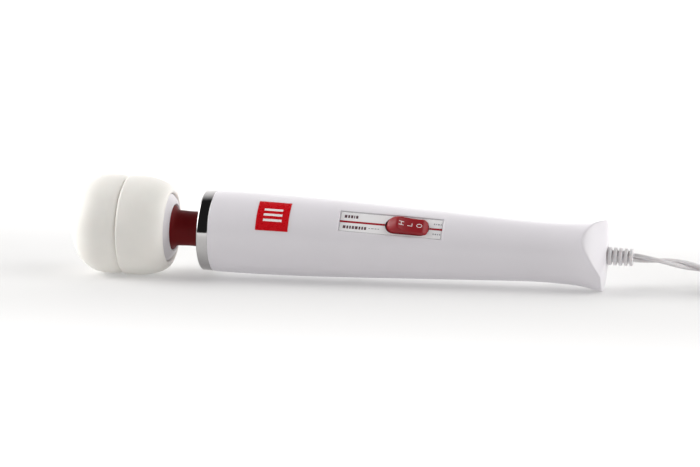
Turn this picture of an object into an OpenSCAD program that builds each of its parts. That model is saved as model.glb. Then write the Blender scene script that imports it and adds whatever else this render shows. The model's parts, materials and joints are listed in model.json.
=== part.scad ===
// Handheld wand massager, lying on a table on its head and its tail, with a rocker switch and a mains lead.
// Millimetres.  The wand is drawn along its own axis: X is the distance from the head's tip, +Z is the
// switch side and Y runs across.  lying() then lays it down in the part's frame, with +Z up.

/* [Wand] */
// Length from the head's tip to the tail's edge
wand_len = 320.2; // [315:0.1:330]
// Angle that the switch side is rolled down from straight up, towards -Y
roll = 52; // [0:1:80]

/* [Head] */
// Radius of the head's cushion at its widest
head_r = 29.8; // [29:0.1:31]
// Where the groove runs round the head, from its tip
groove_x = 32.5; // [32:0.1:33]
// Depth of that groove
groove_depth = 1.9; // [1:0.1:2.5]
// Where the cushion's rear lip ends
head_end = 60; // [60:0.1:61]
// Radius of the visible disc behind the cushion
hub_r = 20.2; // [19:0.1:20.5]

/* [Neck] */
// Radius of the rubber neck
neck_r = 10.5; // [10:0.1:11]
// Radius of the neck's flange in the hub
neck_flange_r = 13.2; // [12.5:0.1:13.5]

/* [Handle] */
// Radius of the bright ring at the handle's front
ring_r = 24.15; // [24:0.05:24.4]
// Width of that ring along the handle
ring_w = 7; // [6:0.1:7.5]
// Where the handle's shells begin, from the head's tip
handle_x = 87.6; // [87:0.1:88]
// Thickness of the handle's shells
wall = 2.4; // [2:0.1:2.6]
// How far the tail's end wall bulges at its middle
end_bulge = 1.6; // [0:0.1:3]
// Radius of the rounded cut that slants the tail off on the switch side
cut_r = 23.7; // [20:0.1:26]
// Height above the axis at which that cut meets the end wall
cut_z = 8.2; // [7:0.1:10]

/* [Switch] */
// Centre of the rocker along the handle
rocker_x = 205.5; // [205:0.5:208]
// Half of the rocker's length
rocker_half = 12.7; // [12:0.1:13.5]
// Width of the rocker
rocker_w = 9.6; // [8:0.1:10]
// Turn of the rocker from its middle position to either end
rocker_turn = 11; // [8:1:12]

/* [Cord] */
// Thickness of one core of the twin lead
core_d = 2.7; // [2.4:0.1:3]
// Radius of the coil at the middle of its turns
coil_r = 32; // [30:1:32]

/* [Hidden] */
$fn = 96;
round_fn = 48;
gap = 0.1;        // between pieces that are assembled against each other
run_gap = 0.05;   // radial clearance of a turning shaft

// ---------- profiles, as points [radius, distance from the head's tip] ----------
function arc(cr, cx, rad, a0, a1, n = 8) =
    [for (i = [0:n]) let (a = a0 + (a1 - a0) * i / n) [cr + rad * cos(a), cx + rad * sin(a)]];

dome_len = 23;      // the front dome, whose outline is a superellipse
dome_power = 2.3;
barrel_end = 39.4;  // end of the straight band behind the groove
tail_power = 1.9;   // the outline behind that band
function dome_r(x, big, len, power) = big * pow(1 - pow(1 - x / len, power), 1 / power);
function rear_r(x, big, small, from, to, power) =
    small + (big - small) * pow(1 - pow((x - from) / (to - from), power), 1 / power);

function head_outline() = concat(
    [[0, 0]],
    [for (i = [1:14]) let (x = dome_len * pow(i / 14, 1.8)) [dome_r(x, head_r, dome_len, dome_power), x]],
    [[head_r, dome_len + 4]],
    [for (i = [1:5]) let (t = i / 5)
        [head_r - groove_depth * t * t, dome_len + 4 + t * (groove_x - dome_len - 4)]],
    arc(head_r - groove_depth, groove_x + groove_depth, groove_depth, -72, 0, 5),
    [[head_r, barrel_end]],
    [for (i = [1:13]) let (x = head_end - (head_end - barrel_end) * pow(1 - i / 13, 1.6))
        [rear_r(x, head_r, hub_r + gap, barrel_end, head_end, tail_power), x]]
);

handle_top_x = 97;      // the handle is widest here
handle_r = 24.5;
taper_x = 165;          // the convex front meets the straight taper
taper = 0.0455;
flare_x = 272;          // the taper meets the flared tail
lip_x = 305;            // the tail swells a little more from here to its edge
lip = 0.8;
flare_bow = 283;        // radius of the flare's curve along the handle
front_bow = 180;        // radius of the short bow between the ring and the widest place
front_arc = (taper_x - handle_top_x) / taper;
taper_r = handle_r - pow(taper_x - handle_top_x, 2) / (2 * front_arc);
flare_r = taper_r - taper * (flare_x - taper_x);
function smooth(t) = let (u = min(1, max(0, t))) u * u * (3 - 2 * u);
function handle_r_at(x) =
    x < handle_top_x ? handle_r - pow(handle_top_x - x, 2) / (2 * front_bow) :
    x < taper_x ? handle_r - pow(x - handle_top_x, 2) / (2 * front_arc) :
    x < flare_x ? taper_r - taper * (x - taper_x) :
    flare_r - taper * (x - flare_x) + pow(x - flare_x, 2) / (2 * flare_bow) + lip * smooth((x - lip_x) / 13);
tail_r = handle_r_at(wand_len);

function stations(from, to, n) = [for (i = [0:n]) from + (to - from) * i / n];
handle_stations = concat([handle_x, handle_top_x], stations(108, taper_x, 5), [flare_x],
    stations(flare_x + 4, wand_len - 3, 14));

// ---------- how the wand lies: on the head and on the tail's lower edge ----------
tilt = atan((head_r - tail_r) / (wand_len - barrel_end));
head_drop = max([for (p = head_outline()) p[1] * sin(tilt) + p[0] * cos(tilt)]);
tail_drop = wand_len * sin(tilt) + tail_r * cos(tilt);
axis_z = max(head_drop, tail_drop);
relief_x = wand_len + 2.1;  // the strain relief's ribs begin here
relief_len = 14.4;
relief_end = relief_x + relief_len;
front_reach = min([for (p = head_outline()) p[1] * cos(tilt) - p[0] * sin(tilt)]);
relief_tip_r = 4.8;
back_reach = relief_end * cos(tilt) + relief_tip_r * sin(tilt);
mid_x = (front_reach + back_reach) / 2;
module lying() translate([-mid_x, 0, axis_z]) rotate([0, tilt, 0]) rotate([roll, 0, 0]) children();
module turned() rotate([0, 90, 0]) rotate_extrude() children();
module tube_x(from, to, outer, inner) turned() translate([inner, from]) square([outer - inner, to - from]);
module rod_x(from, to, rad) translate([from, 0, 0]) rotate([0, 90, 0]) cylinder(r = rad, h = to - from);

// ---------- head ----------
core_r = 22;
core_x = 10;
core_end = 55.5;
core_wall = 2;
bearing_r = 8;
shaft_r = 4;
weight_r = 14;
front_bearing_x = 16;
rear_bearing_x = 45;
bearing_w = 5;
hub_x = 56;
hub_bore_x = 62;
screw_ring = 18.2;
screw_angles = [90, 210, 330];

module head_cover() color("ivory") difference() {
    turned() polygon(concat(head_outline(), [[0, head_end]]));
    rod_x(core_x - gap, head_end + 1, core_r - 2 + gap);
    rod_x(core_x + 3, core_end + gap, core_r + gap);
    rod_x(core_end, head_end + 1, hub_r + gap);
}
module head_core() color("dimgray") difference() {
    union() {
        rod_x(core_x, core_x + 3, core_r - 2);
        rod_x(core_x + 3, core_end, core_r);
    }
    rod_x(front_bearing_x + bearing_w + 1, rear_bearing_x - 1, core_r - core_wall);
    rod_x(core_x + 2, core_end + 1, 5.5);
    rod_x(front_bearing_x, front_bearing_x + bearing_w + 2, bearing_r);
    rod_x(rear_bearing_x, core_end + 1, bearing_r);
    for (a = screw_angles) rotate([a, 0, 0]) translate([0, 0, screw_ring])
        rod_x(rear_bearing_x - 2, core_end + 1, 1.5);
}
module head_hub() color("white") difference() {
    turned() polygon([[6, hub_x], [hub_r, hub_x], [hub_r, 59.2], [hub_r - 0.4, 59.7],
        [neck_flange_r + 2.6, 61.9], [neck_flange_r + 1.2, hub_bore_x],
        [neck_flange_r + gap, hub_bore_x - 0.3], [neck_flange_r + gap, 58.6], [6, 58.6]]);
    for (a = screw_angles) rotate([a, 0, 0]) translate([0, 0, screw_ring]) rod_x(hub_x - 1, 59, 1.5);
}
module hub_screws() color("silver") for (a = screw_angles) rotate([a, 0, 0]) translate([0, 0, screw_ring])
    rod_x(rear_bearing_x - 1, 58.5, 1.45);
module bearing(x) color("silver") tube_x(x, x + bearing_w, bearing_r, shaft_r + run_gap);
module eccentric_shaft() color("gray") difference() {
    union() {
        rod_x(14, 53, shaft_r);
        rod_x(22.5, 24.5, 5.2);
    }
    rod_x(48, 54, 2);
}
module eccentric_weight() color("darkgray") difference() {
    intersection() {
        rod_x(26, 42, weight_r);
        translate([25, -weight_r, -weight_r - 1]) cube([18, 2 * weight_r, weight_r + 7.5]);
    }
    rod_x(25, 43, shaft_r + 0.02);
}

// ---------- neck ----------
boot_end = 88;
nose_x = 81.4;
spring_wire = 1.6;
spring_r = 7.6;
spring_turns = 5;
spring_x0 = 59.5;
spring_x1 = 86;
neck_mid = 71.5;    // the neck bends about here
fillet = 2.6;
module neck_boot() color("darkred") turned() polygon(concat(
    [[9, 58.8], [neck_flange_r, 58.8], [neck_flange_r, 61.6]],
    [for (i = [0:6]) let (a = 90 * i / 6)
        [neck_flange_r - fillet * sin(a), 61.9 + 3.4 * (1 - cos(a))]],
    [[neck_r - 0.15, neck_mid], [neck_r, nose_x - 0.3], [neck_r, 85.1], [12.6, 85.1], [12.6, boot_end - 1],
        [9, boot_end - 1]]
));

// A tube of n sides swept along the points of a path, with a fixed "up" that is never along the path.
function unit(v) = v / norm(v);
function path_dir(path, i) = unit(path[min(i + 1, len(path) - 1)] - path[max(i - 1, 0)]);
module swept(path, rad, sides, up = [0, 0, 1]) {
    n = len(path);
    points = [for (i = [0:n - 1]) let (t = path_dir(path, i), u = unit(cross(up, t)), v = cross(t, u))
        for (k = [0:sides - 1]) let (a = 360 * k / sides) path[i] + rad * (cos(a) * u + sin(a) * v)];
    faces = concat(
        [[for (k = [0:sides - 1]) k]],
        [[for (k = [sides - 1:-1:0]) (n - 1) * sides + k]],
        [for (i = [0:n - 2]) for (k = [0:sides - 1]) let (j = (k + 1) % sides)
            [i * sides + k, (i + 1) * sides + k, (i + 1) * sides + j, i * sides + j]]
    );
    polyhedron(points = points, faces = faces, convexity = 10);
}
module neck_spring() color("silver") {
    steps = spring_turns * 16;
    swept([for (i = [0:steps]) let (a = 360 * spring_turns * i / steps)
        [spring_x0 + (spring_x1 - spring_x0) * i / steps, spring_r * cos(a), spring_r * sin(a)]],
        spring_wire / 2, 8, [1, 0, 0]);
}
module drive_coupling() color("black") difference() {
    union() {
        rod_x(53.5, 57.5, 3.6);
        rod_x(57.5, 89, 2.6);
        rod_x(89, 97, 5);
        rod_x(48.2, 53.5, 1.95);
    }
    rod_x(91, 98, 2.5);
}

// ---------- handle ----------
ring_x = handle_x - ring_w;
ring_in = 22.2;
nose_r = ring_in - gap;
spigot_r = 21.4;
module chrome_ring() color("silver") turned() polygon(concat(
    [[ring_in, handle_x], [ring_in, ring_x + 0.4], [ring_in + 0.5, ring_x]],
    arc(ring_r - 1.4, ring_x + 1.4, 1.4, -90, 0, 6),
    [[ring_r, handle_x]]
));
module nose_cap() color("white") difference() {
    union() {
        turned() polygon([[neck_r + gap, nose_x], [nose_r - 1.2, nose_x], [nose_r, nose_x + 1.2],
            [nose_r, handle_x - gap], [spigot_r, handle_x - gap], [spigot_r, 95], [19, 95], [19, 85],
            [neck_r + gap, 85]]);
        for (a = [0, 90, 180, 270]) rotate([a, 0, 0]) translate([0, 0, 15.8]) rod_x(85, 90, 2.8);
    }
    for (a = [0, 90, 180, 270]) rotate([a, 0, 0]) translate([0, 0, 15.8]) rod_x(83.5, 91, 1.2);
}
module boot_clamp() color("gray") difference() {
    union() {
        tube_x(boot_end - 1 + gap, 92.5, 13, 6.2);
        for (a = [0, 90, 180, 270]) rotate([a, 0, 0]) translate([0, 0, 15.8]) rod_x(90.1, 92.5, 3);
        for (a = [0, 90]) rotate([a, 0, 0]) translate([90.1, -2, -15]) cube([2.4, 4, 30]);
    }
    rod_x(85, 93, 6.2);
    for (a = [0, 90, 180, 270]) rotate([a, 0, 0]) translate([0, 0, 15.8]) rod_x(89, 93, 1.4);
}
module clamp_screws() color("silver") for (a = [0, 90, 180, 270]) rotate([a, 0, 0]) translate([0, 0, 15.8])
    union() {
        rod_x(84, 93, 1.2);
        rod_x(92.6, 94.4, 2.4);
    }

// The flat pocket under the label falls with the handle's taper.
label_x0 = 165.2;
label_x1 = 226.6;
label_half = 6.8;
pocket_depth = 0.75;
function pocket_z(x) = sqrt(pow(handle_r_at(x), 2) - pow(label_half, 2)) - pocket_depth;
pocket_slope = atan((pocket_z(label_x0) - pocket_z(label_x1)) / (label_x1 - label_x0));
// Height of the pocket's floor at the rocker.
floor_z = pocket_z(label_x0) - (rocker_x - label_x0) * tan(pocket_slope);
// Draws in the pocket's own frame: origin on the floor above the rocker's pivot, X along the floor, Z out.
module on_floor() translate([rocker_x, 0, floor_z]) rotate([0, pocket_slope, 0]) children();
pivot_z = -5;           // the rocker's pivot below the floor
slot_half = 14.2;
slot_w = rocker_w + 0.8;
module stadium(half, width, low, high) translate([0, 0, low]) linear_extrude(high - low) union() {
    square([2 * half - width, width], center = true);
    for (side = [-1, 1]) translate([side * (half - width / 2), 0]) circle(d = width, $fn = round_fn);
}

screw_x = [172, 292];
screw_y = [14, 9.2];
boss_r = 3.4;
motor_x0 = 104;
motor_x1 = 158;
motor_r = 17.5;
mount_r = 20.2;
mounts_x = [105.5, 148];
mount_w = 6;
relief_hole_r = 5.6;
flange_x = wand_len - 8.7;  // the strain relief's flange, held inside the tail
flange_w = 6;
cut_low = -3.4;             // height of the centre of the cut's curve
cut_x = wand_len - sqrt(pow(cut_r, 2) - pow(cut_z - cut_low, 2));
module beyond_cut(inset) difference() {
    translate([wand_len - 20, -30, 0]) cube([30, 60, 40]);
    translate([cut_x, 31, cut_low]) rotate([90, 0, 0]) cylinder(r = cut_r - inset, h = 62, $fn = 144);
}
module handle_space(shrink) difference() {
    turned() polygon(concat(
        [[0, handle_x - (shrink > 0 ? 1 : 0)]],
        [for (x = handle_stations) [handle_r_at(x) - shrink, x - (shrink > 0 && x == handle_x ? 1 : 0)]],
        [for (i = [0:6]) let (t = 1 - i / 6)
            [t * (tail_r - shrink), wand_len - shrink + end_bulge * (1 - t * t)]]
    ));
    beyond_cut(shrink);
}
module shell_ribs() {
    for (x = mounts_x) difference() {
        tube_x(x - 1.4, x + mount_w + 1.4, handle_r_at(x) - wall + 0.2, mount_r - 1.4);
        tube_x(x, x + mount_w, mount_r, mount_r - 3);
    }
    tube_x(flange_x + 2, wand_len - 1, 8.8, 7.2);
}
module handle_tube() difference() {
    union() {
        difference() {
            handle_space(0);
            handle_space(wall);
        }
        intersection() {
            handle_space(1);
            union() {
                shell_ribs();
                for (i = [0, 1]) for (side = [-1, 1]) translate([screw_x[i], side * screw_y[i], -20])
                    cylinder(r = boss_r, h = 40, $fn = round_fn);
                on_floor() translate([label_x0 - rocker_x - 3, -9.5, -2.4])
                    cube([label_x1 - label_x0 + 6, 19, 5]);
            }
        }
    }
    rod_x(wand_len - 4, wand_len + 3, relief_hole_r);
    rod_x(handle_x - 2, 95.2, spigot_r + 0.05);
}
module handle_front() color("white") difference() {
    intersection() {
        handle_tube();
        translate([handle_x - 1, -30, 0]) cube([wand_len, 60, 30]);
    }
    on_floor() translate([label_x0 - rocker_x, -label_half, 0])
        cube([label_x1 - label_x0, 2 * label_half, 8]);
    on_floor() stadium(slot_half, slot_w, -5, 2);
    for (i = [0, 1]) for (side = [-1, 1])
        translate([screw_x[i], side * screw_y[i], -1]) cylinder(r = 1.55, h = 8.5, $fn = round_fn);
}
clamp_x = 265.5;
clamp_y = 8;
module back_posts() {
    for (x = board_holes_x) for (side = [-1, 1]) translate([x, side * board_hole_y, -20]) {
        cylinder(r = 2.4, h = 20 + board_z - 0.05, $fn = round_fn);
        cylinder(r = 1.1, h = 20 + board_z + 2.6, $fn = round_fn);
    }
    for (side = [-1, 1]) translate([clamp_x, side * clamp_y, -20])
        cylinder(r = 2.7, h = 21.4, $fn = round_fn);
    translate([clamp_x - 2, -clamp_y, -20]) cube([4, 2 * clamp_y, 18.5]);
}
module handle_back() color("white") difference() {
    union() {
        intersection() {
            handle_tube();
            translate([handle_x - 1, -30, -30]) cube([wand_len, 60, 30]);
        }
        intersection() {
            handle_space(1);
            back_posts();
        }
    }
    for (side = [-1, 1]) translate([clamp_x, side * clamp_y, -5.2]) cylinder(r = 1.3, h = 8, $fn = round_fn);
    for (i = [0, 1]) for (side = [-1, 1]) translate([screw_x[i], side * screw_y[i], 0]) {
        translate([0, 0, -30]) cylinder(r = 1.8, h = 31, $fn = round_fn);
        translate([0, 0, -30]) cylinder(r = 2.8, h = 24, $fn = round_fn);
    }
}
module handle_screws() color("dimgray") for (i = [0, 1]) for (side = [-1, 1])
    translate([screw_x[i], side * screw_y[i], 0]) difference() {
        union() {
            translate([0, 0, -6.1]) cylinder(r = 1.5, h = 13, $fn = round_fn);
            translate([0, 0, -8]) cylinder(r = 2.7, h = 1.95, $fn = round_fn);
        }
        for (a = [0, 90]) rotate([0, 0, a]) translate([-1.6, -0.35, -8.5]) cube([3.2, 0.7, 1.3]);
    }

// ---------- motor ----------
can_wall = 1.5;
shaft_rm = 2.5;
module motor_mount(x) color("dimgray") tube_x(x + 0.05, x + mount_w - 0.05, mount_r - 0.1, motor_r + 0.1);
module motor_can() color("silver") union() {
    tube_x(motor_x0, motor_x1 - 8, motor_r, motor_r - can_wall);
    tube_x(motor_x0, motor_x0 + can_wall, motor_r, 5.1);
    tube_x(motor_x0 - 2.5, motor_x0 + 3, 7, 5.1);
}
module field_magnets() color("darkslategray") for (side = [0, 180]) rotate([side, 0, 0]) intersection() {
    tube_x(motor_x0 + 6, motor_x1 - 14, motor_r - can_wall - 0.05, 12.8);
    translate([motor_x0, -20, 4.5]) cube([60, 40, 20]);
}
module motor_end_bell() color("black") difference() {
    union() {
        tube_x(motor_x1 - 8, motor_x1, motor_r, motor_r - 2);
        tube_x(motor_x1 - 1.6, motor_x1, motor_r, 5.1);
        tube_x(motor_x1 - 3, motor_x1 + 2, 7, 5.1);
    }
    for (side = [-1, 1]) translate([motor_x1 - 8.05, side * 10 - 3.4, -2.6]) cube([6, 6.8, 5.2]);
}
module motor_bushes() color("goldenrod") {
    tube_x(motor_x0 - 2.3, motor_x0 + 2.8, 5.05, shaft_rm + run_gap);
    tube_x(motor_x1 - 2.8, motor_x1 + 1.8, 5.05, shaft_rm + run_gap);
}
module motor_shaft() color("gray") rod_x(91.2, motor_x1 + 3, shaft_rm - 0.02);
slots = 5;
module armature() color("slategray") difference() {
    rod_x(motor_x0 + 9, motor_x1 - 17, 12.2);
    rod_x(motor_x0, motor_x1, shaft_rm);
    for (i = [0:slots - 1]) rotate([360 * i / slots, 0, 0]) translate([motor_x0, -1.1, 5.5]) {
        cube([60, 2.2, 10]);
        translate([0, -1.2, 0]) cube([60, 4.6, 4.2]);
    }
}
module armature_winding() color("chocolate") for (i = [0:slots - 1]) rotate([360 * i / slots, 0, 0])
    translate([motor_x0 + 7.5, -2.1, 5.7]) cube([motor_x1 - motor_x0 - 22.2, 4.2, 3.8]);
module commutator() color("peru") difference() {
    rod_x(motor_x1 - 13.5, motor_x1 - 4, 5.2);
    rod_x(motor_x0, motor_x1, shaft_rm);
    for (i = [0:slots - 1]) rotate([360 * i / slots, 0, 0])
        translate([motor_x1 - 14, -0.25, 4]) cube([9, 0.5, 4]);
}
module brush_holders() color("gold") for (side = [-1, 1]) difference() {
    translate([motor_x1 - 7.9, side * 10 - 3.2, -2.4]) cube([5, 6.4, 4.8]);
    translate([motor_x1 - 7, side * 10 - 4, -1.3]) cube([3.2, 8, 2.6]);
}
module carbon_brushes() color("black") for (side = [-1, 1])
    translate([motor_x1 - 6.95, side * 9.1 - 3.55, -1.25]) cube([3.1, 7.1, 2.5]);

// ---------- electrics ----------
board_z = -9;
board_x0 = 176;
board_x1 = 214;
board_holes_x = [board_x0 + 3, board_x1 - 3];
board_hole_y = 9.5;
module circuit_board() color("darkgreen") difference() {
    translate([board_x0, -12.5, board_z]) cube([board_x1 - board_x0, 25, 1.6]);
    for (x = board_holes_x) for (side = [-1, 1])
        translate([x, side * board_hole_y, board_z - 1]) cylinder(r = 1.2, h = 4, $fn = round_fn);
}
module rectifier_diodes() color("black") for (i = [0:3])
    translate([board_x0 + 8 + 4.4 * i, -9, board_z + 1.6 + 1.4]) rotate([-90, 0, 0])
        cylinder(r = 1.35, h = 5.5, $fn = round_fn);
module smoothing_capacitor() color("navy") translate([board_x0 + 9, 7.4, board_z + 1.65 + 4])
    rotate([0, 90, 0]) cylinder(r = 4, h = 16);

frame_half = 16;
frame_w = 14.6;
frame_low = -15;
frame_top = -2.5;
module switch_frame() color("black") on_floor() difference() {
    translate([-frame_half, -frame_w / 2, frame_low]) cube([2 * frame_half, frame_w, frame_top - frame_low]);
    translate([-frame_half + 1.4, -slot_w / 2, frame_low + 4]) cube([2 * frame_half - 2.8, slot_w, 12]);
    translate([0, frame_w, pivot_z]) rotate([90, 0, 0]) cylinder(r = 1.5, h = 2 * frame_w, $fn = round_fn);
}
module switch_terminals() color("goldenrod") on_floor() for (x = [-9, 0, 9])
    translate([x - 0.4, -2.4, frame_low - 6]) cube([0.8, 4.8, 6]);
// The rocker's side view about its pivot, in its middle position.
crest_x = 7.6;
crest_z = 9.7;
saddle = 1.1;
function rocker_top() = concat(
    [[-rocker_half, 4.4], [-rocker_half + 1.2, 6.2]],
    [for (i = [0:12]) let (x = -crest_x - 1.6 + (2 * crest_x + 3.2) * i / 12, e = abs(x) / crest_x)
        [x, crest_z - saddle * pow(1 - e, 2) * sign(1 - e) * (e < 1 ? 1 : -4)]],
    [[rocker_half - 1.2, 6.2], [rocker_half, 4.4]]
);
module rocker() color("firebrick") on_floor() translate([0, 0, pivot_z]) rotate([0, rocker_turn, 0]) union() {
    intersection() {
        rotate([90, 0, 0]) translate([0, 0, -10]) linear_extrude(20)
            polygon(concat([[-rocker_half, -1.5]], rocker_top(),
                [[rocker_half, -1.5], [4, -4.5], [-4, -4.5]]));
        stadium(rocker_half, rocker_w, -6, 14);
    }
    rotate([90, 0, 0]) translate([0, 0, -frame_w / 2 + 0.2])
        cylinder(r = 1.5 - run_gap, h = frame_w - 0.4, $fn = round_fn);
}
module label_panel() color("whitesmoke") on_floor() difference() {
    translate([label_x0 - rocker_x + 0.4, -label_half + 0.3, 0])
        cube([label_x1 - label_x0 - 0.8, 2 * label_half - 0.6, 0.35]);
    stadium(slot_half + 0.2, slot_w + 0.4, -1, 2);
}
badge_x0 = 116.4;
badge_len = 19.5;
badge_angle = 1;
badge_half_turn = 23;
badge_clear = 0.03;
badge_lift = 0.28;
module badge_round(inset, lift) turned() polygon(concat(
    [[0, badge_x0 + inset]],
    [for (x = stations(badge_x0 + inset, badge_x0 + badge_len - inset, 4)) [handle_r_at(x) + lift, x]],
    [[0, badge_x0 + badge_len - inset]]
));
module badge() color("crimson") difference() {
    intersection() {
        badge_round(0, badge_lift);
        rotate([badge_angle, 0, 0]) translate([badge_x0, 0, 0]) rotate([90, 0, 90])
            linear_extrude(badge_len)
                polygon([[0, 0], [30 * tan(badge_half_turn), 30], [-30 * tan(badge_half_turn), 30]]);
    }
    badge_round(-1, badge_clear);
}

// ---------- cord entry ----------
lead_r = core_d / 2;
module inner_leads() color("ghostwhite") {
    swept([[flange_x - 0.1, 1.4, 0], [256, 1.4, 0], [236, 6, -3], [221, 6.5, -3.4],
        [board_x1 - 6, 6.5, board_z + 3.1]], lead_r, 8);
    swept([[flange_x - 0.1, -1.4, 0], [256, -1.4, 0], [240, -2, -1],
        [rocker_x + 10.2, -1.4, floor_z + frame_low - 5]], lead_r, 8);
    for (side = [-1, 1])
        swept([[board_x0 + 4, side * 4, board_z + 3.1], [168, side * 7, -5], [159.8, side * 10, -1]],
            lead_r, 8);
}
module cord_clamp() color("gray") difference() {
    translate([clamp_x - 3.5, -clamp_y - 3, 1.45]) cube([7, 2 * clamp_y + 6, 3]);
    for (side = [-1, 1]) translate([clamp_x, side * clamp_y, 0]) cylinder(r = 1.3, h = 8, $fn = round_fn);
}
module cord_clamp_screws() color("silver") for (side = [-1, 1]) translate([clamp_x, side * clamp_y, 0])
    union() {
        translate([0, 0, -5]) cylinder(r = 1.25, h = 9.6, $fn = round_fn);
        translate([0, 0, 4.5]) cylinder(r = 2.4, h = 1.5, $fn = round_fn);
    }
rib_count = 5;
rib_w = 1.9;
rib_pitch = (relief_len - rib_w) / (rib_count - 1);
rib_r = 5.3;
module strain_relief() color("white") difference() {
    union() {
        rod_x(flange_x, flange_x + flange_w, 7);
        rod_x(flange_x + flange_w - gap, relief_x - 0.6, relief_hole_r - gap);
        for (i = [0:rib_count - 1]) let (x = relief_x + i * rib_pitch, r = rib_r - 0.05 * i)
            turned() polygon([[0, x], [r - 0.3, x], [r, x + 0.3], [r, x + rib_w - 0.3], [r - 0.3, x + rib_w],
                [0, x + rib_w]]);
        rod_x(relief_x - 1, relief_end - 1, 3.6);
    }
    rod_x(flange_x - 1, flange_x + 3.5, 3.2);
}

// ---------- cord, in the part's own frame ----------
cord_d = 2 * core_d;
cord_exit = [relief_end * cos(tilt) - mid_x, 0, axis_z - relief_end * sin(tilt)];
cord_route = [
    [179, 0.8, 19.2], [187, 3.8, 17.9], [195, 9.2, 15.8], [203, 15.8, 13], [211, 22.6, 9.8],
    [219, 29.4, 6.8], [227, 36.2, 4.4], [232, 40.6, 3.5]
];
coil_at = [256, 12];
coil_low = 0.8;             // the tie's thickness lies under the turns
coil_half = 1.5 * cord_d;   // three turns by three
module cord_lead() color("gainsboro") swept(concat([cord_exit], cord_route), cord_d / 2, 10);
module cord_coil() color("gainsboro") translate([coil_at[0], coil_at[1], coil_low]) rotate_extrude()
    polygon([[coil_r - coil_half, 1.5], [coil_r - coil_half + 1.5, 0], [coil_r + coil_half - 1.5, 0],
        [coil_r + coil_half, 1.5], [coil_r + coil_half, 2 * coil_half - 1.5],
        [coil_r + coil_half - 1.5, 2 * coil_half], [coil_r - coil_half + 1.5, 2 * coil_half],
        [coil_r - coil_half, 2 * coil_half - 1.5]]);
tie_wall = 0.8;
tie_w = 8;
tie_angle = -70;
module cord_tie() color("dimgray") translate([coil_at[0], coil_at[1], 0]) rotate([0, 0, tie_angle])
    translate([coil_r, 0, coil_half + tie_wall]) difference() {
        cube([2 * (coil_half + tie_wall), tie_w, 2 * (coil_half + tie_wall)], center = true);
        cube([2 * coil_half, tie_w + 1, 2 * coil_half], center = true);
    }
plug_x = 248;       // where the lead enters the plug
plug_y = 35;
plug_relief = 18;
plug_len = 30;
plug_w = 25;
plug_thick = 15;
plug_z = coil_low + 2 * coil_half + 0.1 + plug_thick / 2;
plug_route = [
    [242.7, -11, 14.3], [234, -3.6, 17.2], [229, 4.6, 19.8], [226, 14.6, 21.6], [229, 25.5, 23.2],
    [237, 32.8, 24.3]
];
module plug_lead() color("gainsboro") swept(concat(plug_route, [[plug_x, plug_y, plug_z]]), cord_d / 2, 10);
module power_plug() color("white") translate([plug_x, plug_y, plug_z]) union() {
    turned() polygon([[0, 0], [3.4, 0], [5, plug_relief + 1], [0, plug_relief + 1]]);
    translate([plug_relief, 0, -plug_thick / 2]) linear_extrude(plug_thick) polygon([
        [0, -7], [4, -9.5], [plug_len - 8, -plug_w / 2 + 1.5], [plug_len - 5, -plug_w / 2],
        [plug_len, -plug_w / 2], [plug_len, plug_w / 2], [plug_len - 5, plug_w / 2],
        [plug_len - 8, plug_w / 2 - 1.5], [4, 9.5], [0, 7]]);
}
blade_len = 17;
blade_gap = 12.7;
module plug_blades() color("silver") translate([plug_x + plug_relief + plug_len, plug_y, plug_z])
    for (side = [-1, 1]) difference() {
        translate([0, side * blade_gap / 2 - 0.75, -3.15]) cube([blade_len, 1.5, 6.3]);
        translate([blade_len - 5, side * blade_gap / 2 + 2, 0]) rotate([90, 0, 0])
            cylinder(r = 1.6, h = 4, $fn = round_fn);
    }

// ---------- everything in its place ----------
lying() head_cover();
lying() head_core();
lying() head_hub();
lying() hub_screws();
lying() bearing(front_bearing_x);  // front_bearing
lying() bearing(rear_bearing_x);  // rear_bearing
lying() eccentric_shaft();
lying() rotate([-roll, 0, 0]) eccentric_weight();
lying() neck_boot();
lying() neck_spring();
lying() drive_coupling();
lying() chrome_ring();
lying() nose_cap();
lying() boot_clamp();
lying() clamp_screws();
lying() handle_front();
lying() handle_back();
lying() handle_screws();
lying() motor_mount(mounts_x[0]);  // front_motor_mount
lying() motor_mount(mounts_x[1]);  // rear_motor_mount
lying() motor_can();
lying() field_magnets();
lying() motor_end_bell();
lying() motor_bushes();
lying() motor_shaft();
lying() armature();
lying() armature_winding();
lying() commutator();
lying() brush_holders();
lying() carbon_brushes();
lying() circuit_board();
lying() rectifier_diodes();
lying() smoothing_capacitor();
lying() switch_frame();
lying() switch_terminals();
lying() rocker();
lying() label_panel();
lying() badge();
lying() inner_leads();
lying() cord_clamp();
lying() cord_clamp_screws();
lying() strain_relief();
cord_lead();
cord_coil();
cord_tie();
plug_lead();
power_plug();
plug_blades();
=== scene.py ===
import json
from math import acos, atan, atan2, copysign, cos, hypot, pi, radians, sin, sqrt, tan

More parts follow.
